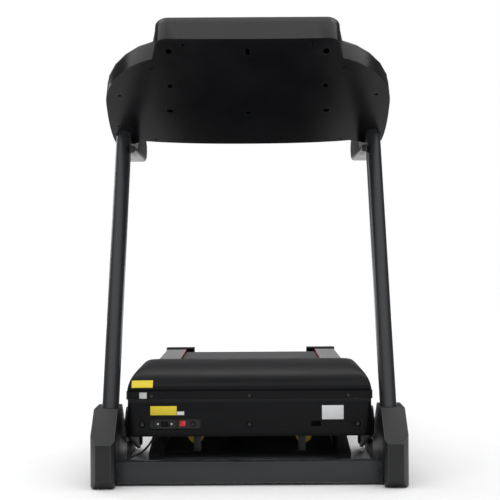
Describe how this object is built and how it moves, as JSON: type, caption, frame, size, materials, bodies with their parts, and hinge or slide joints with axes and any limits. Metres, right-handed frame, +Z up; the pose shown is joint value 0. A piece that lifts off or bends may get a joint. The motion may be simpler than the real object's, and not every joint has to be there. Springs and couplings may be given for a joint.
{
  "type": "treadmill",
  "caption": "Folding motorised treadmill with leaning oval uprights, wing-shaped console, side handrails, motor hood, powered incline and a deck that folds up.",
  "frame": {"origin": "centre of the footprint, on the floor", "axes": "+Y from the motor end to the rear end of the deck, +Z up, +X to the right of someone facing the motor end"},
  "size_m": [0.892, 1.75, 1.3645],
  "materials": {
    "powder_coat": "satin",
    "moulded_black": "fine grain",
    "display_gloss": "gloss",
    "black_rubber": "matt",
    "bright_zinc": "satin",
    "belt_weave": "woven",
    "foot_rail": "ribbed",
    "board_coat": "waxed",
    "signal_red": "gloss",
    "buffer_yellow": "matt",
    "circuit_green": "satin",
    "cast_aluminium": "cast",
    "key_grey": "satin",
    "start_green": "satin"
  },
  "bodies": {
    "base": {"front_crossbar": "powder_coat", "console_back_cover": "moulded_black", "console_front_cover": "moulded_black", "display_window": "display_gloss", "console_board": "circuit_green", "signal_cable": "black_rubber", "floor_rail_left": "powder_coat", "floor_rail_right": "powder_coat", "upright_left": "powder_coat", "upright_right": "powder_coat", "front_foot_left": "black_rubber", "front_foot_right": "black_rubber", "rail_foot_left": "black_rubber", "rail_foot_right": "black_rubber", "base_cover_left": "moulded_black", "base_cover_right": "moulded_black", "handrail_left": "moulded_black", "handrail_right": "moulded_black"},
    "wheel_left": {"transport_wheel_left": "black_rubber"},
    "wheel_right": {"transport_wheel_right": "black_rubber"},
    "swing_arms": {"swing_arm_left": "powder_coat", "swing_arm_right": "powder_coat"},
    "deck_pivot": {"pivot_pin_left": "bright_zinc", "pivot_pin_right": "bright_zinc"},
    "deck": {"deck_frame": "powder_coat", "running_board": "board_coat", "running_belt": "belt_weave", "drive_motor": "powder_coat", "drive_belt": "black_rubber", "motor_controller": "cast_aluminium", "hood_top": "moulded_black", "hood_panel": "moulded_black", "power_inlet": "moulded_black", "switch_plate": "moulded_black", "incline_motor": "cast_aluminium", "rear_foot_left": "black_rubber", "rear_foot_right": "black_rubber", "lift_buffer_left": "buffer_yellow", "lift_buffer_right": "buffer_yellow", "deck_cushion_left": "black_rubber", "deck_cushion_right": "black_rubber", "side_rail_left": "foot_rail", "side_rail_right": "foot_rail", "end_cap_left": "moulded_black", "end_cap_right": "moulded_black"},
    "lift": {"lift_frame": "powder_coat"},
    "push_rod": {"incline_rod": "bright_zinc"},
    "front_roll": {"front_roller": "bright_zinc"},
    "rear_roll": {"rear_roller": "bright_zinc"},
    "motor_rotor": {"motor_flywheel": "bright_zinc"},
    "rocker": {"power_rocker": "signal_red"},
    "breaker": {"breaker_button": "moulded_black"},
    "safety": {"safety_key": "signal_red"},
    "start_key_body": {"start_key": "start_green"},
    "stop_key_body": {"stop_key": "signal_red"},
    "speed_up_key_body": {"speed_up_key": "key_grey"},
    "speed_down_key_body": {"speed_down_key": "key_grey"},
    "incline_up_key_body": {"incline_up_key": "key_grey"},
    "incline_down_key_body": {"incline_down_key": "key_grey"}
  },
  "joints": [
    {"name": "arm_swing", "type": "hinge", "parent": "base", "child": "swing_arms", "pos_m": [0, -0.255, 0.042], "axis": [-1, 0, 0], "range_deg": [0, 25]},
    {"name": "incline", "type": "hinge", "parent": "swing_arms", "child": "deck_pivot", "pos_m": [0, -0.59, 0.15], "axis": [1, 0, 0], "range_deg": [0, 19.4]},
    {"name": "deck_fold", "type": "hinge", "parent": "deck_pivot", "child": "deck", "pos_m": [0, -0.59, 0.15], "axis": [1, 0, 0], "range_deg": [0, 62], "deforming": ["signal_cable"]},
    {"name": "lift_swing", "type": "hinge", "parent": "deck", "child": "lift", "pos_m": [0, -0.075, 0.105], "axis": [1, 0, 0], "range_deg": [0, 16.5]},
    {"name": "screw_travel", "type": "slide", "parent": "deck", "child": "push_rod", "axis": [0, 1, 0], "range_m": [0, 0.022]},
    {"name": "front_roller_spin", "type": "hinge", "parent": "deck", "child": "front_roll", "pos_m": [0, -0.27, 0.214], "axis": [1, 0, 0], "continuous": true},
    {"name": "rear_roller_spin", "type": "hinge", "parent": "deck", "child": "rear_roll", "pos_m": [0, 0.79, 0.214], "axis": [1, 0, 0], "continuous": true},
    {"name": "motor_spin", "type": "hinge", "parent": "deck", "child": "motor_rotor", "pos_m": [0, -0.455, 0.205], "axis": [1, 0, 0], "continuous": true},
    {"name": "wheel_spin_left", "type": "hinge", "parent": "base", "child": "wheel_left", "pos_m": [0, -0.819, 0.029], "axis": [1, 0, 0], "continuous": true},
    {"name": "wheel_spin_right", "type": "hinge", "parent": "base", "child": "wheel_right", "pos_m": [0, -0.819, 0.029], "axis": [1, 0, 0], "continuous": true},
    {"name": "power_switch", "type": "hinge", "parent": "deck", "child": "rocker", "pos_m": [-0.196, -0.685, 0.1585], "axis": [1, 0, 0], "range_deg": [0, 14]},
    {"name": "breaker_press", "type": "slide", "parent": "deck", "child": "breaker", "axis": [0, 1, 0], "range_m": [0, 0.003], "stiffness_N_per_m": 400, "springref_m": -0.001},
    {"name": "safety_key_pull", "type": "slide", "parent": "base", "child": "safety", "axis": [0, 0.6157, 0.788], "range_m": [0, 0.04]},
    {"name": "start_press", "type": "slide", "parent": "base", "child": "start_key_body", "axis": [0, -0.6157, -0.788], "range_m": [0, 0.0012], "stiffness_N_per_m": 600, "springref_m": -0.0015},
    {"name": "stop_press", "type": "slide", "parent": "base", "child": "stop_key_body", "axis": [0, -0.6157, -0.788], "range_m": [0, 0.0012], "stiffness_N_per_m": 600, "springref_m": -0.0015},
    {"name": "speed_up_press", "type": "slide", "parent": "base", "child": "speed_up_key_body", "axis": [0, -0.6157, -0.788], "range_m": [0, 0.0012], "stiffness_N_per_m": 600, "springref_m": -0.0015},
    {"name": "speed_down_press", "type": "slide", "parent": "base", "child": "speed_down_key_body", "axis": [0, -0.6157, -0.788], "range_m": [0, 0.0012], "stiffness_N_per_m": 600, "springref_m": -0.0015},
    {"name": "incline_up_press", "type": "slide", "parent": "base", "child": "incline_up_key_body", "axis": [0, -0.6157, -0.788], "range_m": [0, 0.0012], "stiffness_N_per_m": 600, "springref_m": -0.0015},
    {"name": "incline_down_press", "type": "slide", "parent": "base", "child": "incline_down_key_body", "axis": [0, -0.6157, -0.788], "range_m": [0, 0.0012], "stiffness_N_per_m": 600, "springref_m": -0.0015}
  ],
  "couplings": [
    {"joint": "arm_swing", "follows": "incline", "ratio": 1.2873},
    {"joint": "lift_swing", "follows": "incline", "ratio": 0.8072},
    {"joint": "screw_travel", "follows": "incline", "m_per_rad": 0.0543},
    {"joint": "rear_roller_spin", "follows": "front_roller_spin", "ratio": 1},
    {"joint": "motor_spin", "follows": "front_roller_spin", "ratio": 2.47}
  ]
}
